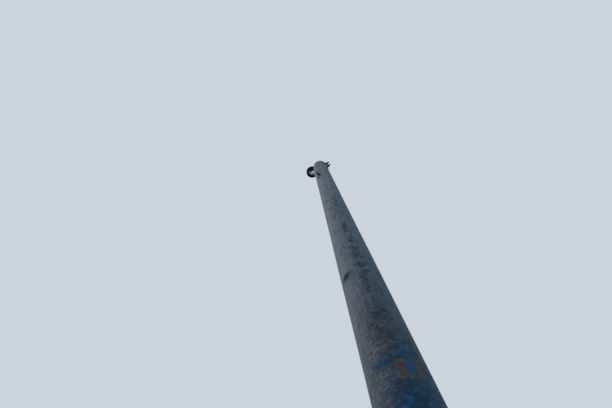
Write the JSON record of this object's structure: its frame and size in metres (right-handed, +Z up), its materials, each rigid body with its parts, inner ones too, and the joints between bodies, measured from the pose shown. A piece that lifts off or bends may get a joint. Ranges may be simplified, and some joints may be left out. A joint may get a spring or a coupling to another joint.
{
  "type": "wooden utility pole",
  "caption": "Tapered wooden line pole with a pole-top pin insulator on a bolted steel pin and a lower spool insulator on a collared through bolt.",
  "frame": {"origin": "centre of the shaft's flat face at the ground line", "axes": "+Z up along the shaft, +X along the line, away from the pole-top pin, +Y to the side that the spool is on"},
  "size_m": [0.3115, 0.3167, 7.6575],
  "materials": {
    "weathered_wood": "matt",
    "galvanised_steel": "satin",
    "dull_lead": "matt",
    "brown_glaze": "gloss",
    "weathered_galvanised": "dull"
  },
  "bodies": {
    "root": {"pole_shaft": "weathered_wood", "pole_top_pin": "galvanised_steel", "pin_thread_sleeve": "dull_lead", "pin_insulator": "brown_glaze", "upper_bracket_bolt": "weathered_galvanised", "upper_bracket_washer": "weathered_galvanised", "upper_bracket_nut": "weathered_galvanised", "upper_bracket_locknut": "weathered_galvanised", "lower_bracket_bolt": "weathered_galvanised", "lower_bracket_washer": "weathered_galvanised", "lower_bracket_nut": "weathered_galvanised", "lower_bracket_locknut": "weathered_galvanised", "neutral_bolt": "weathered_galvanised", "neutral_nut_side_washer": "weathered_galvanised", "neutral_nut": "weathered_galvanised", "neutral_locknut": "weathered_galvanised", "neutral_spool_side_washer": "weathered_galvanised", "spool_insulator": "brown_glaze", "spool_keeper_washer": "weathered_galvanised", "spool_cotter_pin": "weathered_galvanised"}
  },
  "joints": []
}
